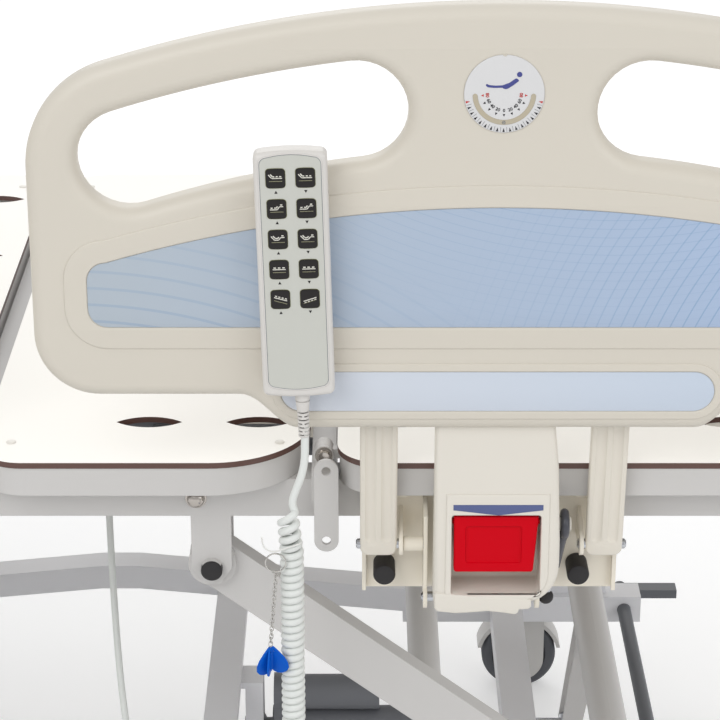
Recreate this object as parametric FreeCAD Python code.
import FreeCAD, Part
import math
import os

# Electric hospital bed with four drop-down side rails, in millimetres.
# +X is the head end, -Y the patient's left side, +Z up; the floor is at Z = 0.

# Mattress platform
board_top = 700.0
board_thickness = 6.0
platform_half_length = 975.0
platform_half_width = 445.0
hinge_gap = 27.0
head_corner_radius = 60.0
back_corner_radius = 45.0
seat_corner_radius = 98.0
back_hinge_x = 281.5
thigh_hinge_x = -69.5
knee_hinge_x = -426.5
hinge_z = 690.0
leaf_length = 66.0
leaf_width = 26.0
leaf_pitch = 110.0
leaf_rows = (-347.0, -140.0, 140.0, 347.0)
leaf_edge_margin = 50.0
back_vent_inset = 70.0
seat_vent_inset = 52.0
thigh_vent_inset = 55.0
leg_vent_inset = 60.0

# Section frames and main frame
band_width = 25.0
band_inset = 2.0
leg_band_height = 20.0
knee_set_back = 18.0
running_gap = 0.3
tube_size = 40.0
main_tube_y = 385.0
main_set_back = 20.0
main_tube_top = 664.0
hinge_tube_width = 24.0
hinge_tube_height = 28.0
hinge_tube_top = 678.0
hinge_tube_end = 428.0
hinge_lug_y = 394.0
knuckle_width = 10.0
lug_thickness = 6.0
lug_radius = 9.5
pin_radius = 6.0
pin_clearance = 0.05
foot_roller_inset = 20.5
foot_roller_radius = 10.0
back_stay_x = 640.0
lever_plate = 6.0
lever_half_gap = 15.0
eye_radius = 15.0
back_lever = 130.0
back_lever_start = 37.5
back_drive_y = 110.0
knee_lever = 130.0
knee_lever_start = 17.5
knee_drive_y = -110.0
box_x = 40.0
box_half_length = 90.0
box_half_width = 70.0
box_height = 62.0
hanger_half_width = 20.0
hanger_plate = 6.0
hanger_drop = 76.0
hanger_cap_y = 412.0
corner_plate = 24.0
accessory_x = 284.0
accessory_half_width = 12.0
accessory_pitch = 75.0
accessory_drop = 15.0
accessory_hole = 4.5
nut_x = 155.0
nut_z = 645.0
nut_radius = 9.0
nut_height = 4.0

# Lift arms and base frame
arm_top_x = 169.0
arm_top_z = 567.0
arm_foot_x = 601.0
arm_foot_z = 240.0
lift_pitch = 900.0
arm_height = 50.0
arm_outer_y = 390.0
arm_thickness = 24.0
arm_boss_radius = 24.0
cross_shaft_radius = 21.0
cap_radius = 10.5
horn_length = 150.0
lift_low = -26.8
lift_high = 10.0
base_half_length = 690.0
base_tube_y = 330.0
base_end_bottom = 119.0
base_end_top = 156.0
base_rise = 48.0
base_tube_height = 33.0
base_level_x = 374.0
base_flat_x = 25.0
centre_beam_x = 150.0
actuator_radius = 25.0
actuator_rod_radius = 9.0
actuator_can_radius = 22.0
actuator_can_length = 105.0
actuator_can_offset = 48.0
lift_drive_y = 90.0
brake_bar_x = 668.0
brake_bar_z = 137.5
brake_bar_radius = 9.0

# Casters
caster_stem_x = 510.0
caster_y = 360.0
caster_trail = 22.0
wheel_radius = 50.0
wheel_width = 30.0
fork_gap = 2.0
hood_wall = 5.0
hood_rise = 12.0
fork_plate = 5.0
fork_half_width = 33.0
fork_bottom = 14.0
fork_top = 116.0
stem_radius = 8.0

# Head and foot boards, corner sockets
end_board_gap = 10.0
end_board_thickness = 33.0
end_board_half_width = 440.0
end_board_bottom = 690.0
end_board_bow = 40.0
end_board_corner = 70.0
end_board_rim = 8.0
grip_half = 130.0
grip_drop = 65.0
grip_opening = 40.0
grip_radius = 19.0
head_board_top = 1150.0
foot_board_top = 1000.0
post_y = 250.0
post_radius = 12.0
post_top = 800.0
post_clearance = 0.3
socket_ahead = 27.0
socket_y = 482.0
socket_bore = 9.6
socket_outer = 15.0
bumper_radius = 50.0
bumper_height = 32.0

# Side rails
rail_face_y = -498.5
rail_proud = 1.5
rail_back_y = -462.0
rail_wall = 6.0
head_rail_x = 445.0
head_rail_half = 430.0
foot_rail_x = -555.0
foot_rail_half = 360.0
rail_top = 1164.0
rail_top_radius = 1196.0
rail_shoulder_radius = 100.0
rail_foot_radius = 60.0
rail_wing_bottom = 791.0
rail_bottom = 757.0
rail_step_inner = 186.0
rail_step_outer = 240.0
rail_edge_radius = 12.0
grip_height = 44.0
opening_height = 93.0
opening_inner = 131.0
opening_end_margin = 93.0
dial_z = 1085.0
dial_radius = 36.0
dial_depth = 2.0
dial_stand_proud = 1.2
print_low = 862.0
print_crown = 978.5
print_radius = 1250.0
print_end_inset = 52.0
print_corner = 18.0
print_frame = 21.0
strip_low = 778.0
strip_high = 818.0
strip_half = 202.0
strip_end_inset = 160.0
strip_lip = 8.0

# Rail linkage, all seen on the near side
arm_pivot_y = -446.0
arm_pivot_z = 614.0
link_pivot_y = -450.0
link_pivot_z = 558.0
lean_out = 32.0
lean_up = 234.9
rail_arm_x = 110.0
rail_arm_width = 36.0
rail_arm_depth = 12.0
rail_arm_boss = 11.0
ear_thickness = 4.0
bracket_half_length = 126.0
bracket_face_y = -414.0
bracket_bottom = 562.0
buffer_radius = 11.0
buffer_z = 577.0
buffer_x = 104.0
housing_left = -57.0
housing_right = 58.0
housing_top = 762.0
housing_bottom = 571.0
housing_front_top = -488.0
housing_front_bottom = -496.0
handle_left = -39.5
handle_right = 44.0
handle_rise = 35.0
handle_height = 58.0
finger_room = 22.4
handle_pivot_y = -483.0
handle_pivot_drop = 7.0
escutcheon_left = -45.2
escutcheon_right = 52.8
escutcheon_top = 688.5
escutcheon_proud = 1.5

# Handset, cord and keys
handset_x = 259.5
handset_z = 925.5
handset_width = 66.0
handset_length = 237.0
handset_depth = 28.0
handset_tilt = -1.6
handset_back_y = -500.3
handset_corner = 8.5
handset_rim = 6.0
handset_bow = 3.0
keypad_thickness = 1.0
keypad_inset = 5.2
key_pitch_x = 26.6
key_pitch_z = 28.7
key_width = 17.2
key_height = 18.0
key_top_row = 91.0
key_corner = 3.0
hook_z = 1012.9
hook_plate = 3.0
hook_width = 24.0
hook_drop = 30.0
relief_length = 36.0
relief_radius = 6.8
relief_ribs = 7
cord_radius = 3.75
cord_y = -516.0
coil_radius = 11.5
coil_x = 252.4
coil_top = 683.0
coil_bottom = 330.0
tie_z = 644.5
ring_x = 237.3
ring_z = 634.9
ring_radius = 9.5
ring_wire = 1.0
key_y = -528.6
key_top = (231.5, 548.0)

X_AXIS = FreeCAD.Vector(1, 0, 0)
Y_AXIS = FreeCAD.Vector(0, 1, 0)
main_half_length = platform_half_length - main_set_back
foot_roller_x = foot_roller_inset - platform_half_length
end_board_x = platform_half_length + end_board_gap
socket_x = end_board_x + socket_ahead
board_bottom = board_top - board_thickness
band_top = board_bottom
band_bottom = main_tube_top
main_tube_bottom = main_tube_top - tube_size
frame_outer = main_tube_y + tube_size / 2
frame_inner = main_tube_y - tube_size / 2
back_eye_x = back_hinge_x - back_lever * math.sin(math.radians(back_lever_start))
back_eye_z = hinge_z - back_lever * math.cos(math.radians(back_lever_start))
knee_eye_x = thigh_hinge_x + knee_lever * math.sin(math.radians(knee_lever_start))
knee_eye_z = hinge_z - knee_lever * math.cos(math.radians(knee_lever_start))
horn_tilt = (lift_high + lift_low) / 2
horn_z = arm_foot_z - horn_length * math.cos(math.radians(horn_tilt))
rail_travel = 180.0 - 2.0 * math.degrees(math.atan2(lean_out, lean_up))
rail_drop = 2.0 * lean_up
handle_bottom = housing_bottom + handle_rise
handle_top = handle_bottom + handle_height
handle_well = handle_bottom - finger_room
handle_pivot_z = handle_top - handle_pivot_drop

# The cord's lead drops from the handset, coils, and goes back up to the control box.
lead_upper = [(265.4, -516, 771.1), (266.3, -516, 748), (264, -516, 724),
              (256, -516, 703), (252.6, -516, 691), (252.4, -516, 683)]
lead_lower = [(252.4, -516, 330), (250, -515, 300), (236, -508, 268), (205, -492, 246),
              (165, -465, 240), (125, -425, 246), (92, -375, 268), (70, -320, 306),
              (57, -262, 356), (49, -215, 412), (44, -182, 470), (41, -160, 530),
              (40, -140, 580), (40, -112, 600), (40, -84, 600)]


def point(x, y, z):
    return FreeCAD.Vector(x, y, z)


def block(x0, x1, y0, y1, z0, z1):
    return Part.makeBox(x1 - x0, y1 - y0, z1 - z0, point(x0, y0, z0))


def round_bar(start, end, radius):
    """A round bar between two points."""
    axis = end.sub(start)
    return Part.makeCylinder(radius, axis.Length, start, axis)


def along_x(x0, x1, y, z, radius):
    return round_bar(point(x0, y, z), point(x1, y, z), radius)


def along_y(y0, y1, x, z, radius):
    return round_bar(point(x, y0, z), point(x, y1, z), radius)


def along_z(z0, z1, x, y, radius):
    return round_bar(point(x, y, z0), point(x, y, z1), radius)


def plate_xz(corners, y0, y1):
    """A flat plate with its outline in X and Z, from y0 to y1."""
    points = [point(x, y0, z) for x, z in corners]
    face = Part.Face(Part.makePolygon(points + points[:1]))
    return face.extrude(point(0, y1 - y0, 0))


def plate_yz(corners, x0, x1):
    """A flat plate with its outline in Y and Z, from x0 to x1."""
    points = [point(x0, y, z) for y, z in corners]
    face = Part.Face(Part.makePolygon(points + points[:1]))
    return face.extrude(point(x1 - x0, 0, 0))


def plate_xy(corners, z0, z1):
    """A flat plate with its outline in X and Y, from z0 to z1."""
    points = [point(x, y, z0) for x, y in corners]
    face = Part.Face(Part.makePolygon(points + points[:1]))
    return face.extrude(point(0, 0, z1 - z0))


def fuse(*shapes):
    return shapes[0].fuse(list(shapes[1:])).removeSplitter()


def cut(shape, *tools):
    return shape.cut(list(tools))


def far_side(shape):
    return shape.mirror(point(0, 0, 0), Y_AXIS)


def other_end(shape):
    return shape.mirror(point(0, 0, 0), X_AXIS)


def both_sides(shape):
    return [shape, far_side(shape)]


def turned(shape, centre, axis, degrees):
    copy = shape.copy()
    copy.rotate(centre, axis, degrees)
    return copy


def moved(shape, x, y, z):
    copy = shape.copy()
    copy.translate(point(x, y, z))
    return copy


def save(node, *solids):
    """Writes one sub-part, which may hold several separate solids."""
    shape = solids[0] if len(solids) == 1 else Part.makeCompound(list(solids))
    shape.exportStep("parts/" + node + ".step")
    print(node, len(shape.Solids), round(shape.Volume / 1000.0, 1))


def rounded_plate(x0, x1, half_width, z0, z1, low_radius, high_radius):
    """A platform section's outline, with its own corner radius at each end."""
    plate = block(x0, x1, -half_width, half_width, z0, z1)
    low = [edge for edge in plate.Edges if upright_at(edge, x0)]
    high = [edge for edge in plate.Edges if upright_at(edge, x1)]
    if low_radius > 0:
        plate = plate.makeFillet(low_radius, low)
        high = [edge for edge in plate.Edges if upright_at(edge, x1)]
    if high_radius > 0:
        plate = plate.makeFillet(high_radius, high)
    return plate


def upright_at(edge, x):
    ends = [vertex.Point for vertex in edge.Vertexes]
    if len(ends) != 2:
        return False
    level = abs(ends[0].x - x) < 0.01 and abs(ends[1].x - x) < 0.01
    return level and abs(ends[0].y - ends[1].y) < 0.01


def leaf(x, y):
    """A leaf-shaped vent, two arcs that meet in points."""
    left = point(x - leaf_length / 2, y, board_bottom - 1)
    right = point(x + leaf_length / 2, y, board_bottom - 1)
    upper = Part.Arc(left, point(x, y + leaf_width / 2, board_bottom - 1), right)
    lower = Part.Arc(right, point(x, y - leaf_width / 2, board_bottom - 1), left)
    face = Part.Face(Part.Wire([upper.toShape(), lower.toShape()]))
    return face.extrude(point(0, 0, board_thickness + 2))


def leaf_vents(x0, x1, last_x):
    """Rows of vents that start from the section's head end."""
    vents = []
    x = last_x
    while x - leaf_length / 2 > x0 + leaf_edge_margin / 2:
        vents += [leaf(x, y) for y in leaf_rows]
        x -= leaf_pitch
    return vents


def section_board(x0, x1, low_radius, high_radius, last_vent_x):
    plate = rounded_plate(x0, x1, platform_half_width, board_bottom, board_top,
                          low_radius, high_radius)
    return cut(plate, *leaf_vents(x0, x1, last_vent_x))


def section_band(x0, x1, low_radius, high_radius, z0):
    """The flat tube ring that carries a board and follows its outline."""
    half_width = platform_half_width - band_inset
    outer = rounded_plate(x0, x1, half_width, z0, band_top, low_radius, high_radius)
    inner = rounded_plate(x0 + band_width, x1 - band_width, half_width - band_width,
                          z0 - 1, band_top + 1,
                          max(low_radius - band_width, 0), max(high_radius - band_width, 0))
    return cut(outer, inner)


def hinge_clevis(x):
    """Two lugs on the hinge tube, with their pin, at one side."""
    inner = knuckle_width / 2 + running_gap
    lugs = []
    for start in (hinge_lug_y - inner - lug_thickness, hinge_lug_y + inner):
        lugs.append(along_y(start, start + lug_thickness, x, hinge_z, lug_radius))
        lugs.append(block(x - lug_radius, x + lug_radius, start, start + lug_thickness,
                          hinge_tube_top - 2, hinge_z))
    outer = inner + lug_thickness + 4
    lugs.append(along_y(hinge_lug_y - outer, hinge_lug_y + outer, x, hinge_z, pin_radius))
    return fuse(*lugs)


def hinge_knuckle(x, band_x, towards):
    """A knuckle that reaches from a section band to the hinge pin."""
    y0 = hinge_lug_y - knuckle_width / 2
    y1 = hinge_lug_y + knuckle_width / 2
    low, high = sorted((x, band_x + towards * 4))
    bar = block(low, high, y0, y1, hinge_z - 6, band_top - 0.5)
    barrel = along_y(y0, y1, x, hinge_z, lug_radius)
    hole = along_y(y0 - 1, y1 + 1, x, hinge_z, pin_radius + pin_clearance)
    return cut(fuse(bar, barrel), hole)


def push_lever(hinge_x, side, start_degrees, reach, band_x, y):
    """A pair of bent plates under a hinge, where an actuator pushes a section.

    side is +1 where the section lies towards the head of its hinge.
    """
    eye_x = hinge_x + reach * math.sin(math.radians(start_degrees))
    eye_z = hinge_z - reach * math.cos(math.radians(start_degrees))
    root = band_x + side * 2
    corners = [(root, band_bottom + 4), (root + side * 21, band_bottom + 4),
               (root + side * 21, 628), (eye_x + side * 8, eye_z - 13),
               (eye_x - side * 10, eye_z - 9), (eye_x - side * 8, eye_z + 14),
               (hinge_x - side * 14, 638), (root, 644)]
    plates = []
    for start in (y - lever_half_gap - lever_plate, y + lever_half_gap):
        plate = plate_xz(corners, start, start + lever_plate)
        eye = along_y(start, start + lever_plate, eye_x, eye_z, eye_radius)
        plates.append(fuse(plate, eye))
    return plates


# Boards
back_board_x0 = back_hinge_x + hinge_gap / 2
seat_x0 = thigh_hinge_x + hinge_gap / 2
seat_x1 = back_hinge_x - hinge_gap / 2
thigh_x0 = knee_hinge_x + hinge_gap / 2
thigh_x1 = thigh_hinge_x - hinge_gap / 2
leg_x1 = knee_hinge_x - hinge_gap / 2


def build_boards():
    save("back_board", section_board(back_board_x0, platform_half_length,
                                     back_corner_radius, head_corner_radius,
                                     platform_half_length - back_vent_inset))
    save("seat_board", section_board(seat_x0, seat_x1, back_corner_radius,
                                     seat_corner_radius, seat_x1 - seat_vent_inset))
    save("thigh_board", section_board(thigh_x0, thigh_x1, back_corner_radius,
                                      back_corner_radius, thigh_x1 - thigh_vent_inset))
    save("leg_board", section_board(-platform_half_length, leg_x1, head_corner_radius,
                                    back_corner_radius, leg_x1 - leg_vent_inset))


def build_section_frames():
    band_x0 = back_board_x0 + band_inset
    band_x1 = platform_half_length - band_inset
    back_ring = section_band(band_x0, band_x1, back_corner_radius, head_corner_radius,
                             band_bottom + running_gap)
    stay_y = platform_half_width - band_inset - band_width
    stay = block(back_stay_x, back_stay_x + band_width, -stay_y - 1, stay_y + 1,
                 band_top - leg_band_height, band_top)
    levers = push_lever(back_hinge_x, 1, -back_lever_start, back_lever, band_x0, back_drive_y)
    knuckle = hinge_knuckle(back_hinge_x, band_x0, 1)
    save("back_frame", fuse(back_ring, stay, *both_sides(knuckle), *levers))

    thigh_ring = section_band(thigh_x0 + knee_set_back, thigh_x1 - band_inset,
                              back_corner_radius, back_corner_radius,
                              band_bottom + running_gap)
    levers = push_lever(thigh_hinge_x, -1, knee_lever_start, knee_lever,
                        thigh_x1 - band_inset, knee_drive_y)
    thigh_knuckle = hinge_knuckle(thigh_hinge_x, thigh_x1 - band_inset, -1)
    knee_lugs = knee_clevis(knee_hinge_x, thigh_x0 + knee_set_back)
    save("thigh_frame", fuse(thigh_ring, *both_sides(thigh_knuckle),
                             *both_sides(knee_lugs), *levers))

    leg_bottom = band_top - leg_band_height
    leg_ring = section_band(-platform_half_length + band_inset, leg_x1 - knee_set_back,
                            head_corner_radius, back_corner_radius, leg_bottom)
    leg_knuckle = hinge_knuckle(knee_hinge_x, leg_x1 - knee_set_back, -1)
    roller_z = main_tube_top + foot_roller_radius + running_gap / 3
    roller = along_y(main_tube_y - 15, main_tube_y + 15, foot_roller_x, roller_z,
                     foot_roller_radius)
    save("leg_frame", fuse(leg_ring, *both_sides(leg_knuckle), *both_sides(roller)))


def knee_clevis(x, band_x):
    """Two lugs that reach from the thigh band to the knee pin."""
    inner = knuckle_width / 2 + running_gap
    parts = []
    for start in (hinge_lug_y - inner - lug_thickness, hinge_lug_y + inner):
        parts.append(along_y(start, start + lug_thickness, x, hinge_z, lug_radius))
        parts.append(block(x, band_x + 4, start, start + lug_thickness,
                           hinge_z - 6, band_top - 0.5))
    outer = inner + lug_thickness
    parts.append(along_y(hinge_lug_y - outer, hinge_lug_y + outer, x, hinge_z, pin_radius))
    return fuse(*parts)


def hinge_tube(x):
    half = hinge_tube_width / 2
    tube = block(x - half, x + half, -hinge_tube_end, hinge_tube_end,
                 hinge_tube_top - hinge_tube_height, hinge_tube_top)
    return fuse(tube, *both_sides(hinge_clevis(x)))


def arm_hanger(x):
    """The pair of plates under a main tube that hold a lift arm's upper end."""
    low = main_tube_bottom - hanger_drop
    wide = hanger_half_width
    shoulder = low + 18
    inner_top = main_tube_bottom + 30
    outer = plate_xz([(x - wide, main_tube_bottom), (x + wide, main_tube_bottom),
                      (x + wide, shoulder), (x + 8, low), (x - 8, low), (x - wide, shoulder)],
                     -frame_outer, -frame_outer + hanger_plate)
    inner = plate_xz([(x - wide, inner_top), (x + wide, inner_top), (x + wide, shoulder),
                      (x + 8, low), (x - 8, low), (x - wide, shoulder)],
                     -frame_inner, -frame_inner + hanger_plate)
    pin = along_y(-frame_outer - 2, -frame_inner + hanger_plate, x, arm_top_z, 8)
    cap = along_y(-hanger_cap_y, -frame_outer, x, arm_top_z, cap_radius)
    return fuse(outer, inner, pin, cap)


def motor_bracket(x, z_top, z, y):
    """Two plates that hang a motor's rear pin."""
    inner = lever_half_gap + 1
    outer = inner + lever_plate
    plates = []
    for start in (y - outer, y + inner):
        plates.append(block(x - 11, x + 11, start, start + lever_plate, z - 12, z_top))
    plates.append(along_y(y - outer, y + outer, x, z, 6))
    return fuse(*plates)


def corner_bracket():
    """The arm at a frame corner, with its upright accessory socket."""
    root_x = main_half_length - 50
    reach = socket_outer
    outline = [(root_x, -frame_inner), (root_x, -frame_outer),
               (socket_x - reach, -socket_y - reach), (socket_x + reach, -socket_y - reach),
               (socket_x + reach, -socket_y + reach), (main_half_length, -frame_inner)]
    plate = plate_xy(outline, main_tube_bottom - corner_plate, main_tube_bottom)
    socket = along_z(main_tube_bottom - 44, main_tube_bottom + 46, socket_x, -socket_y,
                     socket_outer)
    bore = along_z(main_tube_bottom - 45, main_tube_bottom + 47, socket_x, -socket_y,
                   socket_bore)
    return cut(fuse(plate, socket), bore)


def board_post():
    """The stub that an end board drops onto."""
    x = end_board_x + end_board_thickness / 2
    bar = block(main_half_length, x + 14, post_y - 22, post_y + 22,
                main_tube_bottom + 4, main_tube_bottom + 26)
    collar = along_z(main_tube_bottom + 26, end_board_bottom, x, post_y, 15)
    post = along_z(end_board_bottom - 2, post_top - 6, x, post_y, post_radius)
    tip = Part.makeCone(post_radius, post_radius - 4, 6, point(x, post_y, post_top - 6))
    return fuse(bar, collar, post, tip)


def accessory_plate():
    """The upright plate with two holes at the back hinge."""
    upper = board_top - accessory_drop
    lower = upper - accessory_pitch
    y0 = -hinge_tube_end - 4
    y1 = -hinge_tube_end
    body = block(accessory_x - accessory_half_width, accessory_x + accessory_half_width,
                 y0, y1, lower, upper)
    ends = [along_y(y0, y1, accessory_x, z, accessory_half_width) for z in (upper, lower)]
    holes = [along_y(y0 - 1, y1 + 1, accessory_x, z, accessory_hole) for z in (upper, lower)]
    return cut(fuse(body, *ends), *holes)


def dome_nut(x, z):
    """A low dome on the outer face of a main tube."""
    sphere_radius = (nut_radius ** 2 + nut_height ** 2) / (2 * nut_height)
    centre = point(x, -frame_outer + sphere_radius - nut_height, z)
    ball = Part.makeSphere(sphere_radius, centre)
    slab = along_y(-frame_outer - nut_height - 1, -frame_outer, x, z, nut_radius + 1)
    return ball.common(slab)


def build_main_frame():
    """The welded frame, tube by tube, with its plates seated face to face."""
    near = block(-main_half_length, main_half_length, -frame_outer, -frame_inner,
                 main_tube_bottom, main_tube_top)
    tubes = both_sides(near)
    head_end = block(main_half_length - tube_size, main_half_length, -frame_inner, frame_inner,
                     main_tube_bottom, main_tube_top)
    box_stay = block(box_x - 15, box_x + 15, -frame_inner, frame_inner,
                     main_tube_bottom + 6, main_tube_bottom + 26)
    seat_ring = section_band(seat_x0 + band_inset, seat_x1 - band_inset,
                             back_corner_radius, seat_corner_radius, band_bottom)
    tube_low = hinge_tube_top - hinge_tube_height
    pieces = tubes + [head_end, other_end(head_end), box_stay, seat_ring]
    pieces += [cut(hinge_tube(x), *tubes) for x in (back_hinge_x, thigh_hinge_x)]
    pieces.append(motor_bracket(thigh_hinge_x, tube_low, back_eye_z, back_drive_y))
    pieces.append(motor_bracket(back_hinge_x, tube_low, knee_eye_z, knee_drive_y))
    for x in (arm_top_x, arm_top_x - lift_pitch):
        pieces += both_sides(arm_hanger(x))
    for shape in both_sides(corner_bracket()) + both_sides(board_post()):
        pieces += [shape, other_end(shape)]
    save("main_frame", *pieces, accessory_plate(), dome_nut(nut_x, nut_z))


def build_control_box():
    top = main_tube_bottom + 6
    body = block(box_x - box_half_length, box_x + box_half_length, -box_half_width,
                 box_half_width, top - box_height, top)
    body = body.makeFillet(6, body.Edges)
    seam = cut(block(box_x - 100, box_x + 100, -80, 80, top - 25, top - 23.5),
               block(box_x - box_half_length + 1, box_x + box_half_length - 1,
                     -box_half_width + 1, box_half_width - 1, top - 26, top - 22))
    body = cut(body, seam)
    gland = along_y(-box_half_width - 14, -box_half_width + 2, box_x, top - 30, 8)
    inlet = block(box_x - 60, box_x - 30, box_half_width - 2, box_half_width + 4,
                  top - 42, top - 20)
    save("control_box", fuse(body, gland, inlet))


def build_motors():
    """Linear actuators: a motor tube pinned at its rear, and a rod with an eye."""
    horn_x = horn_length * math.sin(math.radians(horn_tilt))
    actuator("back", thigh_hinge_x, back_eye_x, back_eye_z, back_drive_y, -1)
    actuator("knee", back_hinge_x, knee_eye_x, knee_eye_z, knee_drive_y, -1)
    actuator("head_lift", centre_beam_x + 36, arm_foot_x + horn_x, horn_z, lift_drive_y, 1)
    foot_x = arm_foot_x - lift_pitch + horn_x
    actuator("foot_lift", centre_beam_x - 36, foot_x, horn_z, -lift_drive_y, 1)


def actuator(name, rear_x, eye_x, z, y, can_side):
    """can_side is +1 where the motor lies above its spindle tube, -1 below."""
    way = 1 if eye_x > rear_x else -1
    length = abs(eye_x - rear_x)
    mouth = rear_x + way * min(length - 40, 0.62 * length)
    rear = along_y(y - 15, y + 15, rear_x, z, 14)
    neck = span_x(rear_x, rear_x + way * 30, y, z, 10)
    tube = span_x(rear_x + way * 22, mouth, y, z, actuator_radius)
    case_x = sorted((rear_x + way * 24, rear_x + way * 52))
    case_z = sorted((z, z + can_side * actuator_can_offset))
    case = block(case_x[0], case_x[1], y - 20, y + 20, case_z[0], case_z[1])
    case_end = span_x(case_x[0], case_x[1], y, z + can_side * actuator_can_offset,
                      actuator_can_radius + 2)
    can = span_x(rear_x + way * 50, rear_x + way * (50 + actuator_can_length), y,
                 z + can_side * actuator_can_offset, actuator_can_radius)
    bore = span_x(rear_x + way * 30, mouth + way, y, z, actuator_rod_radius + running_gap)
    pin_hole = along_y(y - 16, y + 16, rear_x, z, 6.05)
    save(name + "_motor", cut(fuse(rear, neck, tube, case, case_end, can), bore, pin_hole))
    tail = mouth - way * 0.5 * abs(mouth - rear_x)
    rod = span_x(tail, eye_x, y, z, actuator_rod_radius)
    eye = along_y(y - 14, y + 14, eye_x, z, 13)
    hole = along_y(y - 15, y + 15, eye_x, z, 7)
    save(name + "_rod", cut(fuse(rod, eye), hole))


def span_x(start, stop, y, z, radius):
    """A round bar along X between two places, in either order."""
    return along_x(min(start, stop), max(start, stop), y, z, radius)


def lift_arms(foot_x):
    """A pair of arms on a cross shaft, with the horn that its actuator moves."""
    top_x = foot_x - (arm_foot_x - arm_top_x)
    run = arm_foot_x - arm_top_x
    rise = arm_top_z - arm_foot_z
    length = math.hypot(run, rise)
    half = arm_height / 2
    bar = block(0, length, -arm_outer_y, -arm_outer_y + arm_thickness, -half, half)
    bar = turned(bar, point(0, 0, 0), Y_AXIS, -180.0 + math.degrees(math.atan2(rise, run)))
    bar = moved(bar, foot_x, 0, arm_foot_z)
    top_boss = along_y(-398.7, -365.3, top_x, arm_top_z, arm_boss_radius)
    foot_boss = along_y(-arm_outer_y - 2, -arm_outer_y + arm_thickness, foot_x, arm_foot_z,
                        half + 4)
    arm = fuse(bar, top_boss, foot_boss)
    arm = cut(arm, along_y(-400, -364, top_x, arm_top_z, 8.2))
    shaft = along_y(-arm_outer_y + 2, arm_outer_y - 2, foot_x, arm_foot_z, cross_shaft_radius)
    middle_x = (foot_x + top_x) / 2
    middle_z = (arm_foot_z + arm_top_z) / 2
    stay = along_y(-arm_outer_y + 2, arm_outer_y - 2, middle_x, middle_z, 17)
    return fuse(arm, far_side(arm), shaft, stay, *horn(foot_x))


def horn(foot_x):
    """The two plates below the cross shaft that an actuator pushes."""
    tip_x = foot_x + horn_length * math.sin(math.radians(horn_tilt))
    tip_z = horn_z
    side = 1 if foot_x > 0 else -1
    plates = []
    for start in (side * lift_drive_y - lever_half_gap - lever_plate,
                  side * lift_drive_y + lever_half_gap):
        outline = [(foot_x - 16, arm_foot_z), (foot_x + 16, arm_foot_z),
                   (tip_x + 12, tip_z), (tip_x - 12, tip_z)]
        plates.append(plate_xz(outline, start, start + lever_plate))
        plates.append(along_y(start, start + lever_plate, tip_x, tip_z, 12))
    return plates


def build_lift_arms():
    save("head_lift_arms", lift_arms(arm_foot_x))
    save("foot_lift_arms", lift_arms(arm_foot_x - lift_pitch))


def build_base():
    rise_bottom = base_end_bottom + base_rise + 2
    outline = [(0, rise_bottom), (base_flat_x, rise_bottom),
               (base_level_x, base_end_bottom + 16), (base_level_x + 60, base_end_bottom + 10),
               (base_level_x + 60, base_end_top - 4),
               (base_level_x, base_end_bottom + 16 + base_tube_height),
               (base_flat_x, rise_bottom + base_tube_height),
               (0, rise_bottom + base_tube_height)]
    side = plate_xz(outline, -base_tube_y - 20, -base_tube_y + 20)
    end = block(base_level_x, base_half_length, -base_tube_y - 20, -base_tube_y + 20,
                base_end_bottom, base_end_top)
    quarter = [side, end]
    for foot_x in (arm_foot_x, lift_pitch - arm_foot_x):
        bearing = plate_xz([(foot_x - 45, base_end_top - 6), (foot_x + 45, base_end_top - 6),
                            (foot_x + 26, arm_foot_z + 10), (foot_x + 14, arm_foot_z + 32),
                            (foot_x - 14, arm_foot_z + 32), (foot_x - 26, arm_foot_z + 10)],
                           -base_tube_y - 8, -base_tube_y + 8)
        mirrored = bearing if foot_x == arm_foot_x else other_end(bearing)
        quarter.append(mirrored)
    near = [side, end, other_end(side), other_end(end)] + quarter[2:]
    beam = block(caster_stem_x - 20, caster_stem_x + 20, -caster_y - 32, caster_y + 32,
                 base_end_bottom, base_end_top)
    centre = block(centre_beam_x - 20, centre_beam_x + 20, -base_tube_y, base_tube_y,
                   base_end_bottom + 40, base_end_top + 20)
    brackets = [motor_bracket(centre_beam_x + 36, base_end_top + 8, horn_z, lift_drive_y),
                motor_bracket(centre_beam_x - 36, base_end_top + 8, horn_z, -lift_drive_y),
                block(centre_beam_x + 15, centre_beam_x + 47, lift_drive_y - 22,
                      lift_drive_y + 22, base_end_top, base_end_top + 8),
                block(centre_beam_x - 47, centre_beam_x - 15, -lift_drive_y - 22,
                      -lift_drive_y + 22, base_end_top, base_end_top + 8)]
    frame = fuse(*near, *[far_side(shape) for shape in near], beam, other_end(beam),
                 centre, *brackets)
    holes = []
    for x in (arm_foot_x, arm_foot_x - lift_pitch):
        holes.append(along_y(-360, 360, x, arm_foot_z, cross_shaft_radius + 0.05))
    for x in (caster_stem_x, -caster_stem_x):
        for y in (-caster_y, caster_y):
            holes.append(along_z(base_end_bottom - 1, base_end_top - 6, x, y,
                                 stem_radius + 0.05))
    for x in (brake_bar_x, -brake_bar_x):
        holes.append(along_y(-400, 400, x, brake_bar_z, brake_bar_radius + pin_clearance))
    save("base_frame", cut(frame, *holes))


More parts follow.
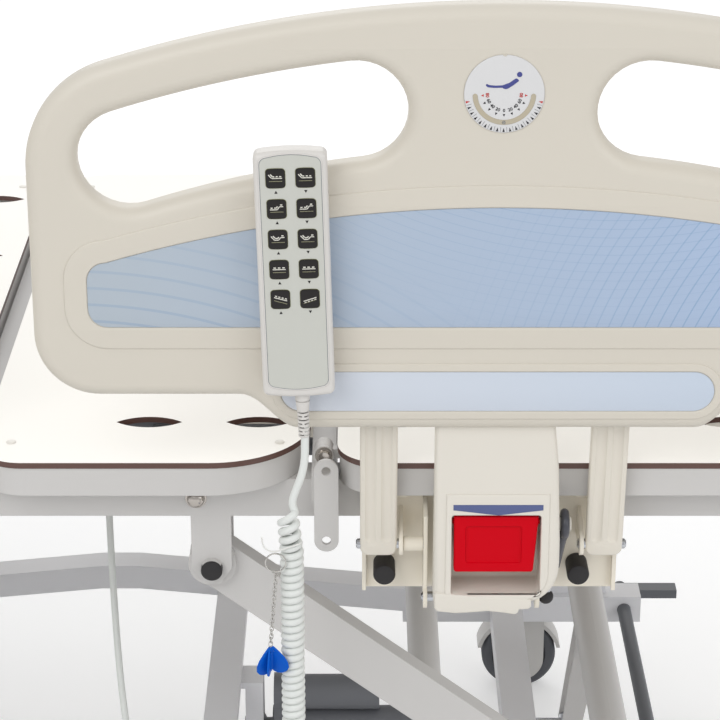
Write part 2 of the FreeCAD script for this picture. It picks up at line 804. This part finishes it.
def build_casters():
    """Twin-plate forks that swivel on a stem, and their wheels."""
    number = 1
    for x in (caster_stem_x, -caster_stem_x):
        for y in (-caster_y, caster_y):
            wheel_x = x + caster_trail
            gap = wheel_width / 2 + fork_gap
            plates = []
            for start in (y - gap - fork_plate, y + gap):
                stop = start + fork_plate
                plates.append(block(wheel_x - fork_half_width, wheel_x + fork_half_width,
                                    start, stop, fork_bottom + fork_half_width, fork_top))
                plates.append(along_y(start, stop, wheel_x, fork_bottom + fork_half_width,
                                      fork_half_width))
            crown = block(x - 20, wheel_x + fork_half_width - 1, y - gap - 1, y + gap + 1,
                          fork_top - 8, fork_top)
            stem = along_z(fork_top - 4, base_end_top - 8, x, y, stem_radius)
            axle = along_y(y - gap - fork_plate, y + gap + fork_plate, wheel_x, wheel_radius, 5)
            fork = fuse(*plates, crown, stem, axle, wheel_hood(wheel_x, y, gap))
            save("caster_fork_%d" % number, cut(fork, wheel_room(wheel_x, y)))
            save("caster_wheel_%d" % number, wheel(wheel_x, y))
            number += 1


def wheel_hood(x, y, gap):
    """The curved cover over a wheel's upper half."""
    inner = wheel_radius + fork_gap
    outer = inner + hood_wall
    ring = cut(along_y(y - gap - 1, y + gap + 1, x, wheel_radius, outer),
               along_y(y - gap - 2, y + gap + 2, x, wheel_radius, inner))
    lower_part = block(x - outer - 1, x + outer + 1, y - gap - 2, y + gap + 2,
                       wheel_radius - outer - 1, wheel_radius + hood_rise)
    return cut(ring, lower_part)


def wheel_room(x, y):
    room = along_y(y - wheel_width / 2 - 1, y + wheel_width / 2 + 1, x, wheel_radius, wheel_radius + 2)
    return cut(room, along_y(y - wheel_width, y + wheel_width, x, wheel_radius, 5))


def wheel(x, y):
    tyre = along_y(y - wheel_width / 2, y + wheel_width / 2, x, wheel_radius, wheel_radius)
    tyre = tyre.makeFillet(6, tyre.Edges)
    dish = along_y(y - wheel_width / 2 - 1, y - wheel_width / 2 + 3, x, wheel_radius, wheel_radius - 14)
    hub = along_y(y - wheel_width / 2, y + wheel_width / 2, x, wheel_radius, 12)
    body = cut(tyre, dish, moved(dish, 0, wheel_width - 2, 0))
    return cut(fuse(body, hub), along_y(y - 40, y + 40, x, wheel_radius, 5.05))


def build_brakes():
    for name, x in (("brake_bar_head", brake_bar_x), ("brake_bar_foot", -brake_bar_x)):
        bar = along_y(-375, 375, x, brake_bar_z, brake_bar_radius)
        side = 1 if x > 0 else -1
        pedals = []
        for y in (-375, 353):
            low, high = sorted((x - side * 12, x + side * 75))
            pedal = block(low, high, y, y + 22, brake_bar_z - 6, brake_bar_z + 6)
            pedals.append(pedal)
        save(name, fuse(bar, *pedals))


def edge_along_x(edge):
    """True for an edge that runs along X."""
    ys = [vertex.Point.y for vertex in edge.Vertexes]
    zs = [vertex.Point.z for vertex in edge.Vertexes]
    return max(ys) - min(ys) < 0.01 and max(zs) - min(zs) < 0.01


def edge_across_x(edge):
    """True for an edge that lies at one X."""
    xs = [vertex.Point.x for vertex in edge.Vertexes]
    return max(xs) - min(xs) < 0.01


def end_board(top):
    """A moulded end board with a bowed top edge and a grip opening."""
    x0 = end_board_x
    x1 = end_board_x + end_board_thickness
    bow = end_board_bow
    corner = end_board_corner
    half = end_board_half_width
    low = end_board_bottom
    left = point(x0, -half, low)
    shoulder = top - bow - corner
    edges = [Part.LineSegment(point(x0, half - 30, low), point(x0, -half + 30, low)),
             Part.Arc(point(x0, -half + 30, low),
                      point(x0, -half + 30 - 21.2, low + 8.8),
                      point(x0, -half, low + 30)),
             Part.LineSegment(point(x0, -half, low + 30), point(x0, -half, shoulder)),
             Part.Arc(point(x0, -half, shoulder),
                      point(x0, -half + corner * 0.25, shoulder + corner * 0.72),
                      point(x0, -half + corner, top - bow)),
             Part.Arc(point(x0, -half + corner, top - bow), point(x0, 0, top),
                      point(x0, half - corner, top - bow)),
             Part.Arc(point(x0, half - corner, top - bow),
                      point(x0, half - corner * 0.25, shoulder + corner * 0.72),
                      point(x0, half, shoulder)),
             Part.LineSegment(point(x0, half, shoulder), point(x0, half, low + 30)),
             Part.Arc(point(x0, half, low + 30),
                      point(x0, half - 30 + 21.2, low + 8.8),
                      point(x0, half - 30, low))]
    wire = Part.Wire([edge.toShape() for edge in edges])
    board = Part.Face(wire).extrude(point(x1 - x0, 0, 0))
    grip = block(x0 - 1, x1 + 1, -grip_half, grip_half, top - grip_drop - grip_opening,
                 top - grip_drop)
    grip = grip.makeFillet(grip_radius, [edge for edge in grip.Edges if edge_along_x(edge)])
    board = cut(board, grip)
    board = board.makeFillet(end_board_rim, [edge for edge in board.Edges if edge_across_x(edge)])
    panel_top = top - 150
    for face_x in (x0, x1):
        field = block(face_x - 1.5, face_x + 1.5, -half + 70, half - 70, low + 60, panel_top)
        field = field.makeFillet(30, [edge for edge in field.Edges if edge_along_x(edge)])
        board = cut(board, field)
    x = (x0 + x1) / 2
    for y in (-post_y, post_y):
        board = cut(board, along_z(low - 1, post_top + 4, x, y, post_radius + post_clearance))
    return board


def build_ends():
    save("head_board", end_board(head_board_top))
    save("foot_board", other_end(end_board(foot_board_top)))
    bumpers = []
    for x in (socket_x, -socket_x):
        for y in (-socket_y, socket_y):
            disc = along_z(main_tube_bottom, main_tube_bottom + bumper_height, x, y,
                           bumper_radius)
            disc = disc.makeFillet(5, disc.Edges)
            bumpers.append(cut(disc, along_z(main_tube_bottom - 1, 700, x, y,
                                             socket_outer + 0.2)))
    save("corner_bumpers", *bumpers)


def tangent_step(x0, z0, x1, z1):
    """Two arcs that step smoothly from one level to another."""
    width = x1 - x0
    height = z1 - z0
    radius = (width ** 2 + height ** 2) / (4 * abs(height))
    sign = 1 if height > 0 else -1
    half_angle = math.asin(abs(width) / 2 / radius) / 2
    way = 1 if width > 0 else -1
    bend_x = radius * math.sin(half_angle)
    bend_z = radius * (1 - math.cos(half_angle))
    middle = ((x0 + x1) / 2, (z0 + z1) / 2)
    y = rail_face_y
    first = Part.Arc(point(x0, y, z0), point(x0 + way * bend_x, y, z0 + sign * bend_z),
                     point(middle[0], y, middle[1]))
    last = Part.Arc(point(middle[0], y, middle[1]),
                    point(x1 - way * bend_x, y, z1 - sign * bend_z), point(x1, y, z1))
    return [first, last]


def rail_outline(half):
    """The rail's outline about X = 0: a bowed top, round shoulders and stepped wings."""
    y = rail_face_y
    centre_z = rail_top - rail_top_radius
    reach = rail_top_radius - rail_shoulder_radius
    inset = half - rail_shoulder_radius
    corner_z = centre_z + math.sqrt(reach ** 2 - inset ** 2)
    tangent_x = inset * rail_top_radius / reach
    tangent_z = centre_z + (corner_z - centre_z) * rail_top_radius / reach
    middle_angle = (math.pi / 2 - math.atan2(inset, corner_z - centre_z)) / 2
    middle_x = inset + rail_shoulder_radius * math.cos(middle_angle)
    middle_z = corner_z + rail_shoulder_radius * math.sin(middle_angle)
    foot = rail_foot_radius
    diagonal = foot * (1 - math.sqrt(0.5))
    low = rail_wing_bottom
    right = [Part.Arc(point(0, y, rail_top), point(tangent_x / 2, y, arc_height(tangent_x / 2)),
                      point(tangent_x, y, tangent_z)),
             Part.Arc(point(tangent_x, y, tangent_z), point(middle_x, y, middle_z),
                      point(half, y, corner_z)),
             Part.LineSegment(point(half, y, corner_z), point(half, y, low + foot)),
             Part.Arc(point(half, y, low + foot), point(half - diagonal, y, low + diagonal),
                      point(half - foot, y, low)),
             Part.LineSegment(point(half - foot, y, low), point(rail_step_outer, y, low))]
    right += tangent_step(rail_step_outer, low, rail_step_inner, rail_bottom)
    right.append(Part.LineSegment(point(rail_step_inner, y, rail_bottom),
                                  point(0, y, rail_bottom)))
    shapes = [edge.toShape() for edge in right]
    shapes += [shape.mirror(point(0, 0, 0), X_AXIS) for shape in shapes]
    wire = Part.Wire(Part.__sortEdges__(shapes))
    return Part.Face(wire).extrude(point(0, rail_back_y - rail_face_y, 0))


def arc_height(x):
    """Height of the rail's top edge at a distance from its middle."""
    return rail_top - rail_top_radius + math.sqrt(rail_top_radius ** 2 - x ** 2)


def hand_opening(half):
    """One curved hand opening, parallel to the rail's top edge."""
    y0 = rail_face_y - 1
    depth = rail_back_y - rail_face_y + 2
    centre_z = rail_top - rail_top_radius
    outer = rail_top_radius - grip_height
    inner = outer - opening_height
    middle = (outer + inner) / 2
    start = math.asin(opening_inner / middle)
    stop = math.asin((half - opening_end_margin) / middle)
    at = [(radius * math.sin(angle), centre_z + radius * math.cos(angle))
          for radius in (outer, inner) for angle in (start, (start + stop) / 2, stop)]
    mid = [(middle * math.sin(angle) + side * opening_height / 2 * math.cos(angle),
            centre_z + middle * math.cos(angle) - side * opening_height / 2 * math.sin(angle))
           for angle, side in ((start, -1), (stop, 1))]
    p = [point(x, y0, z) for x, z in at + mid]
    arcs = [Part.Arc(p[0], p[1], p[2]), Part.Arc(p[2], p[7], p[5]),
            Part.Arc(p[5], p[4], p[3]), Part.Arc(p[3], p[6], p[0])]
    wire = Part.Wire([arc.toShape() for arc in arcs])
    return Part.Face(wire).extrude(point(0, depth, 0))


def print_slab(half, grow, y0, y1):
    """The long printed field, straight below and bowed above, grown all round."""
    reach = half - print_end_inset + grow
    radius = print_radius + grow
    centre_z = print_crown - print_radius
    end_z = centre_z + math.sqrt(radius ** 2 - reach ** 2)
    low = print_low - grow
    corners = [point(-reach, y0, low), point(reach, y0, low), point(reach, y0, end_z),
               point(-reach, y0, end_z)]
    edges = [Part.LineSegment(corners[0], corners[1]), Part.LineSegment(corners[1], corners[2]),
             Part.Arc(corners[2], point(0, y0, centre_z + radius), corners[3]),
             Part.LineSegment(corners[3], corners[0])]
    face = Part.Face(Part.Wire([edge.toShape() for edge in edges]))
    slab = face.extrude(point(0, y1 - y0, 0))
    upright = [edge for edge in slab.Edges if not edge_in_face(edge)]
    return slab.makeFillet(print_corner + grow, upright)


def strip_slab(half, grow, y0, y1):
    """The lower strip, with half-round ends."""
    reach = min(strip_half, half - strip_end_inset) + grow
    radius = (strip_high - strip_low) / 2 + grow
    middle = (strip_high + strip_low) / 2
    bar = block(-reach + radius, reach - radius, y0, y1, middle - radius, middle + radius)
    ends = [along_y(y0, y1, side * (reach - radius), middle, radius) for side in (-1, 1)]
    return fuse(bar, *ends)


def raised_frame(slab, half, width):
    """A low moulded frame around one printed field."""
    front = rail_face_y - rail_proud
    outer = slab(half, width, front, rail_face_y + 1)
    return cut(outer, slab(half, 0, front - 1, rail_face_y + 2))


def rail_panel(centre_x, half, with_dial):
    """A moulded side rail panel, raised, on the near side."""
    panel = rail_outline(half)
    opening = hand_opening(half)
    panel = cut(panel, opening, opening.mirror(point(0, 0, 0), X_AXIS))
    rim = [edge for edge in panel.Edges if edge_in_face(edge)]
    panel = panel.makeFillet(rail_edge_radius, rim)
    panel = fuse(panel, raised_frame(print_slab, half, print_frame),
                 raised_frame(strip_slab, half, strip_lip))
    pocket_back = rail_back_y + 1
    pocket_front = rail_face_y + rail_wall
    link_pocket = block(housing_left - 2, housing_right + 2, pocket_front, pocket_back,
                        rail_bottom - 1, rail_bottom + 238)
    panel = cut(panel, link_pocket)
    for side in (-1, 1):
        x = side * rail_arm_x
        panel = cut(panel, block(x - rail_arm_width / 2 - 3, x + rail_arm_width / 2 + 3,
                                 pocket_front, pocket_back, rail_bottom - 1,
                                 arm_pivot_z + lean_up + 165))
        panel = fuse(panel, along_x(x - rail_arm_width / 2 - 8, x + rail_arm_width / 2 + 8,
                                    arm_pivot_y - lean_out, arm_pivot_z + lean_up, 5))
    panel = fuse(panel, along_x(housing_left - 5, housing_right + 5, link_pivot_y - lean_out,
                                link_pivot_z + lean_up, 5))
    solids = [panel]
    if with_dial:
        seat = along_y(rail_face_y - 1, rail_face_y + dial_depth, 0, dial_z, dial_radius + 0.4)
        dial = along_y(rail_face_y - dial_stand_proud, rail_face_y + dial_depth, 0, dial_z,
                       dial_radius)
        solids = [cut(panel, seat), dial]
    return [moved(shape, centre_x, 0, 0) for shape in solids]


def edge_in_face(edge):
    """True for the edges around the two broad faces of a rail."""
    ys = [vertex.Point.y for vertex in edge.Vertexes]
    return max(ys) - min(ys) < 0.01


def rail_arm(x):
    """A fluted arm that swings the panel out and down."""
    half = rail_arm_width / 2
    deep = rail_arm_depth / 2
    length = math.hypot(lean_out, lean_up)
    bar = block(x - half, x + half, -deep, deep, 0, length)
    for offset in (-10.5, 0, 10.5):
        bar = cut(bar, along_z(-20, length + 20, x + offset, -deep - 1.2, 3.2))
    low = along_x(x - half, x + half, 0, 0, rail_arm_boss)
    high = along_x(x - half, x + half, 0, length, rail_arm_boss)
    arm = fuse(bar, low, high)
    arm = cut(arm, along_x(x - half - 1, x + half + 1, 0, 0, pin_radius + pin_clearance),
              along_x(x - half - 1, x + half + 1, 0, length, 5.05))
    arm = turned(arm, point(0, 0, 0), X_AXIS, math.degrees(math.atan2(lean_out, lean_up)))
    return moved(arm, 0, arm_pivot_y, arm_pivot_z)


def housing_front(z):
    """Y of the housing's sloping front at a height."""
    share = (z - housing_bottom) / (housing_top - housing_bottom)
    return housing_front_bottom + share * (housing_front_top - housing_front_bottom)


def escutcheon(centre_x):
    """The raised field around the release paddle, with one large round corner."""
    low = housing_bottom + 5
    y_low = housing_front(low)
    y_high = housing_front(escutcheon_top)
    field = plate_yz([(y_low - escutcheon_proud, low), (y_high - escutcheon_proud, escutcheon_top),
                      (y_high + 2, escutcheon_top), (y_low + 2, low)],
                     centre_x + escutcheon_left, centre_x + escutcheon_right)
    right = centre_x + escutcheon_right
    radius = 38.0
    corner = block(right - radius, right + 1, -520, -400, low - 1, low + radius)
    return cut(field, cut(corner, along_y(-520, -400, right - radius, low + radius, radius)))


def rail_link(centre_x):
    """The locking link between bracket and panel, in its moulded housing."""
    length = math.hypot(lean_out, lean_up)
    left = centre_x + housing_left
    right = centre_x + housing_right
    core = fuse(block(centre_x - 37, centre_x + 37, -6, 5, 0, length),
                along_x(centre_x - 37, centre_x + 37, 0, 0, 11),
                along_x(centre_x - 37, centre_x + 37, 0, length, 10))
    core = cut(core, along_x(centre_x - 40, centre_x + 40, 0, 0, pin_radius + pin_clearance),
               along_x(centre_x - 40, centre_x + 40, 0, length, 5.05))
    core = turned(core, point(0, 0, 0), X_AXIS, math.degrees(math.atan2(lean_out, lean_up)))
    core = moved(core, 0, link_pivot_y, link_pivot_z)
    slope = lean_out / lean_up
    back_top = link_pivot_y - slope * (housing_top - link_pivot_z) + 5
    back_low = link_pivot_y - slope * (housing_bottom - link_pivot_z) + 4
    profile = [(housing_front_bottom, housing_bottom), (housing_front_top, housing_top),
               (back_top, housing_top), (back_low, housing_bottom + 8),
               (back_low - 14, housing_bottom)]
    shell = plate_yz(profile, left, right)
    corner = block(right - 45, right + 1, -520, -400, housing_bottom - 1, housing_bottom + 45)
    corner = cut(corner, along_y(-520, -400, right - 45, housing_bottom + 45, 45))
    shell = cut(shell, corner)
    lip = block(left - 1, right - 18, housing_front_bottom - 2, housing_front_bottom + 20,
                housing_bottom - 3, housing_bottom + 5)
    shell = fuse(shell, lip)
    shell = fuse(shell, escutcheon(centre_x))
    well = block(centre_x + handle_left - 1, centre_x + handle_right + 1, -520, -466,
                 handle_well, handle_top + 3)
    shell = cut(shell, well)
    stub_z = link_pivot_z + 90
    stub = along_x(right - 2, right + 17, -472, stub_z, 4.5)
    pivot_hole = along_x(centre_x + handle_left - 5, centre_x + handle_right + 5,
                         handle_pivot_y, handle_pivot_z, 3.05)
    return cut(fuse(shell, core, stub), pivot_hole)


def release_handle(centre_x):
    """The paddle that is pulled out to free the rail."""
    left = centre_x + handle_left
    right = centre_x + handle_right
    plate = plate_yz([(-491.5, handle_bottom), (-489.5, handle_top), (-481, handle_top),
                      (-481, handle_bottom + 4), (-486, handle_bottom)], left, right)
    dish = plate_yz([(-495, handle_bottom + 8), (-495, handle_top - 8),
                     (-488.2, handle_top - 11), (-489.2, handle_bottom + 11)],
                    left + 11, right - 11)
    barrel = along_x(left, right, handle_pivot_y, handle_pivot_z, 6)
    pin = along_x(left - 4.5, right + 4.5, handle_pivot_y, handle_pivot_z, 3)
    return fuse(cut(plate, dish), barrel, pin)


def rail_damper(centre_x):
    """The gas spring beside the housing, with an eye at each end."""
    low = point(centre_x + 56, link_pivot_y, link_pivot_z)
    high = point(centre_x + 69, -472, link_pivot_z + 90)
    way = high.sub(low)
    rod = round_bar(low.add(point(0, 0, 6)), low.add(way.multiply(0.5)), 3)
    way = high.sub(low)
    tube = round_bar(low.add(way.multiply(0.46)), high, 5.5)
    low_eye = along_x(centre_x + 52, centre_x + 60, link_pivot_y, link_pivot_z, 10)
    high_eye = along_x(centre_x + 64, centre_x + 74, -472, link_pivot_z + 90, 9.0)
    whole = fuse(rod, tube, low_eye, high_eye)
    return cut(whole, along_x(centre_x + 50, centre_x + 61, link_pivot_y, link_pivot_z,
                              pin_radius + pin_clearance),
               along_x(centre_x + 60, centre_x + 78, -472, link_pivot_z + 90, 4.6))


def rail_brackets(centre_x, on_section):
    """The plate, ears, pivot rods and rubber buffers that carry one rail."""
    low = centre_x - bracket_half_length
    high = centre_x + bracket_half_length
    plate = block(low, high, bracket_face_y, bracket_face_y + 4, bracket_bottom,
                  band_bottom - 1)
    pieces = [plate]
    if on_section:
        for x in (low + 4, high - 44):
            pieces.append(block(x, x + 40, bracket_face_y - 24, bracket_face_y + 2,
                                band_bottom - 4, band_bottom + running_gap))
    else:
        for x in (low + 4, high - 44):
            pieces.append(block(x, x + 40, bracket_face_y + 3, bracket_face_y + 9, 628, 660))
    for x in (low, high - 4):
        pieces.append(block(x, x + 4, bracket_face_y - 8, bracket_face_y + 2,
                            bracket_bottom, band_bottom - 1))
    for x in (rail_arm_x - 24, -rail_arm_x + 20):
        ear = plate_yz([(bracket_face_y + 1, arm_pivot_z - 20), (bracket_face_y + 1, 640),
                        (arm_pivot_y, arm_pivot_z + 12), (arm_pivot_y, arm_pivot_z - 12)],
                       centre_x + x, centre_x + x + ear_thickness)
        pieces += [ear, along_x(centre_x + x, centre_x + x + ear_thickness, arm_pivot_y,
                                arm_pivot_z, 12)]
    for x in (-66, 44):
        top = arm_pivot_z + 40 if x < 0 else 596
        knee_y = arm_pivot_y - 8 if x < 0 else arm_pivot_y + 6
        knee_z = top - 8 if x < 0 else link_pivot_z + 22
        ear = plate_yz([(bracket_face_y + 1, bracket_bottom), (bracket_face_y + 1, top),
                        (knee_y, knee_z), (link_pivot_y, link_pivot_z + 11),
                        (link_pivot_y, link_pivot_z - 11)],
                       centre_x + x, centre_x + x + ear_thickness)
        pieces += [ear, along_x(centre_x + x, centre_x + x + ear_thickness, link_pivot_y,
                                link_pivot_z, 12)]
    pieces.append(along_x(low - 6, centre_x - 62, arm_pivot_y, arm_pivot_z, pin_radius))
    pieces.append(along_x(centre_x + 84, high + 6, arm_pivot_y, arm_pivot_z, pin_radius))
    pieces.append(along_x(centre_x - 68, centre_x + 61, link_pivot_y, link_pivot_z,
                          pin_radius))
    bracket = fuse(*pieces)
    slope = lean_out / lean_up
    stop_y = arm_pivot_y - slope * (arm_pivot_z - buffer_z - buffer_radius)
    stop_y += rail_arm_depth / 2 + running_gap + 0.2
    buffers = [along_y(stop_y, bracket_face_y, centre_x + side * buffer_x, buffer_z,
                       buffer_radius) for side in (-1, 1)]
    return [bracket] + buffers


def lowered(shape, pivot_y, pivot_z):
    return turned(shape, point(0, pivot_y, pivot_z), X_AXIS, rail_travel)


def build_rail(name, centre_x, half, with_dial, is_far):
    """One rail: near rails are raised at rest, far rails are stored lowered."""
    panel = rail_panel(centre_x, half, with_dial)
    arms = [rail_arm(centre_x - rail_arm_x), rail_arm(centre_x + rail_arm_x)]
    link = rail_link(centre_x)
    handle = release_handle(centre_x)
    damper = rail_damper(centre_x)
    if is_far:
        panel = [far_side(moved(shape, 0, 0, -rail_drop)) for shape in panel]
        arms = [far_side(lowered(shape, arm_pivot_y, arm_pivot_z)) for shape in arms]
        link = far_side(lowered(link, link_pivot_y, link_pivot_z))
        handle = far_side(lowered(handle, link_pivot_y, link_pivot_z))
        damper = far_side(lowered(damper, link_pivot_y, link_pivot_z))
    save("rail_panel_" + name, *panel)
    save("rail_arms_" + name, *arms)
    save("rail_link_" + name, link)
    save("release_handle_" + name, handle)
    save("rail_damper_" + name, damper)


def build_rails():
    build_rail("head_left", head_rail_x, head_rail_half, True, False)
    build_rail("head_right", head_rail_x, head_rail_half, True, True)
    build_rail("foot_left", foot_rail_x, foot_rail_half, False, False)
    build_rail("foot_right", foot_rail_x, foot_rail_half, False, True)
    for name, x, on_section in (("head_rail_brackets", head_rail_x, True),
                                ("foot_rail_brackets", foot_rail_x, False)):
        near = rail_brackets(x, on_section)
        save(name, *near, *[far_side(shape) for shape in near])


def tilted(shape):
    return turned(shape, point(handset_x, 0, handset_z), Y_AXIS, handset_tilt)


def bowed_slab(half_x, half_z, bow, corner, y0, y1):
    """An upright oblong whose ends bow outwards and whose corners are round."""
    shoulder = half_z - bow
    at = [point(handset_x + x, y0, handset_z + z)
          for x, z in ((-half_x, -shoulder), (0, -half_z), (half_x, -shoulder),
                       (half_x, shoulder), (0, half_z), (-half_x, shoulder))]
    edges = [Part.Arc(at[0], at[1], at[2]), Part.LineSegment(at[2], at[3]),
             Part.Arc(at[3], at[4], at[5]), Part.LineSegment(at[5], at[0])]
    face = Part.Face(Part.Wire([edge.toShape() for edge in edges]))
    slab = face.extrude(point(0, y1 - y0, 0))
    upright = [edge for edge in slab.Edges if not edge_in_face(edge)]
    return slab.makeFillet(corner, upright)


def strain_relief(top):
    """A plain collar and seven ribs on a slimmer core, about the cord's line."""
    collar = 11.0
    core = along_z(top - relief_length, top + 2, handset_x, cord_y, relief_radius - 2)
    parts = [along_z(top - collar, top + 2, handset_x, cord_y, relief_radius)]
    pitch = (relief_length - collar - 1) / relief_ribs
    for rib in range(relief_ribs):
        rib_top = top - collar - 1 - rib * pitch
        parts.append(along_z(rib_top - 0.7 * pitch, rib_top, handset_x, cord_y,
                             relief_radius - 0.6 - 0.08 * rib))
    return fuse(core, *parts)


def build_handset():
    """The wired handset, its hook over the rail and its membrane keypad."""
    front = handset_back_y - handset_depth
    half_x = handset_width / 2
    half_z = handset_length / 2
    body = bowed_slab(half_x, half_z, handset_bow, handset_corner, front, handset_back_y)
    rims = [edge for edge in body.Edges if edge_in_face(edge)]
    body = body.makeFillet(handset_rim, rims)
    pad_x = half_x - keypad_inset - 0.4
    pad_z = half_z - keypad_inset - 1.4
    recess = bowed_slab(pad_x + 0.4, pad_z + 0.4, handset_bow, handset_corner - 1.5,
                        front - 1, front + keypad_thickness)
    body = cut(fuse(body, strain_relief(handset_z - half_z)), recess)
    save("handset_body", fuse(tilted(body), *handset_hook()))
    pad = bowed_slab(pad_x, pad_z, handset_bow, handset_corner - 1.9, front - 0.2,
                     front + keypad_thickness)
    keys = []
    for row in range(5):
        for side in (-1, 1):
            x = handset_x + side * key_pitch_x / 2
            z = handset_z + key_top_row - row * key_pitch_z
            key = block(x - key_width / 2, x + key_width / 2, front - 1.1, front - 0.1,
                        z - key_height / 2, z + key_height / 2)
            corners = [edge for edge in key.Edges if not edge_in_face(edge)]
            keys.append(key.makeFillet(key_corner, corners))
    save("handset_keypad", tilted(fuse(pad, *keys)))


def handset_hook():
    """A strap over the lower edge of the hand opening and down its back."""
    half = hook_width / 2
    back = rail_back_y + running_gap
    over = block(handset_x - half, handset_x + half, handset_back_y - 4, back + hook_plate,
                 hook_z, hook_z + hook_plate)
    down = block(handset_x - half, handset_x + half, back, back + hook_plate,
                 hook_z - hook_drop, hook_z + hook_plate)
    return over, down


def cord_run(points, radius):
    """A round cord along straight runs that are joined by tangent arcs."""
    corners = [point(*p) for p in points]
    edges = []
    start = corners[0]
    for i in range(1, len(corners) - 1):
        back = corners[i - 1].sub(corners[i])
        ahead = corners[i + 1].sub(corners[i])
        turn = math.pi - back.getAngle(ahead)
        shorter = min(back.Length, ahead.Length)
        trim = 0.45 * shorter
        bend = trim / math.tan(turn / 2)
        print("  bend", round(bend, 1), "turn", round(math.degrees(turn), 1))
        back.normalize()
        ahead.normalize()
        enter = corners[i].add(FreeCAD.Vector(back).multiply(trim))
        leave = corners[i].add(FreeCAD.Vector(ahead).multiply(trim))
        inward = FreeCAD.Vector(back).add(ahead)
        inward.normalize()
        sag = bend / math.cos(turn / 2) - bend
        middle = corners[i].add(inward.multiply(sag))
        edges.append(Part.LineSegment(start, enter).toShape())
        edges.append(Part.Arc(enter, middle, leave).toShape())
        start = leave
    edges.append(Part.LineSegment(start, corners[-1]).toShape())
    wire = Part.Wire(edges)
    tangent = corners[1].sub(corners[0])
    section = Part.Wire([Part.Circle(corners[0], tangent, radius).toShape()])
    tube = wire.makePipeShell([section], True, False)
    print("  cord length", round(wire.Length), "volume ratio",
          round(tube.Volume / (math.pi * radius ** 2 * wire.Length), 4))
    return tube


def build_cord():
    lower = cord_run(lead_lower, cord_radius)
    upper = cord_run(lead_upper, cord_radius)
    save("cord_lead", upper, lower)
    save("cord_coil", along_z(coil_bottom + running_gap, coil_top - running_gap, coil_x, cord_y,
                              coil_radius))


def build_keys():
    """Three flat keys on a chain and a ring, which a tie holds to the curly cord."""
    collar = cut(along_z(tie_z - 2, tie_z + 2, coil_x, cord_y, coil_radius + 1),
                 along_z(tie_z - 3, tie_z + 3, coil_x, cord_y, coil_radius))
    tail_top = tie_z + 2
    tail = plate_xz([(ring_x - 12, tie_z + 4.5), (ring_x - 9, tail_top + 6),
                     (coil_x, tail_top), (coil_x, tie_z - 2)], key_y - 1, key_y + 0.8)
    ring_y = key_y + 0.7
    ring = Part.makeTorus(ring_radius, ring_wire, point(ring_x, ring_y, ring_z), Y_AXIS)
    chain_top = point(ring_x, ring_y, ring_z - ring_radius - ring_wire - running_gap)
    chain_foot = point(key_top[0], key_y, key_top[1])
    chain = round_bar(chain_top, chain_foot, 2.0)
    keys = [flat_key(angle, layer) for layer, angle in enumerate((14.0, 2.0, -22.0))]
    save("lockout_keys", fuse(collar, tail), ring, chain, *keys)


def flat_key(angle, layer):
    """One pear-shaped key, hung by its tip and turned about it."""
    thickness = 1.8
    y0 = key_y + (layer - 2.5) * (thickness + running_gap)
    x = key_top[0]
    top = key_top[1] - running_gap
    bow = along_y(y0, y0 + thickness, x, top - 21, 10)
    neck = plate_xz([(x - 2.5, top), (x + 2.5, top), (x + 9.2, top - 17.2),
                     (x - 9.2, top - 17.2)], y0, y0 + thickness)
    hole = along_y(y0 - 1, y0 + thickness + 1, x, top - 5.5, 1.6)
    key = cut(fuse(bow, neck), hole)
    return turned(key, point(x, y0, top), Y_AXIS, angle)


os.makedirs("parts", exist_ok=True)
build_boards()
build_section_frames()
build_main_frame()
build_control_box()
build_motors()
build_lift_arms()
build_base()
build_casters()
build_brakes()
build_ends()
build_rails()
build_handset()
build_cord()
build_keys()
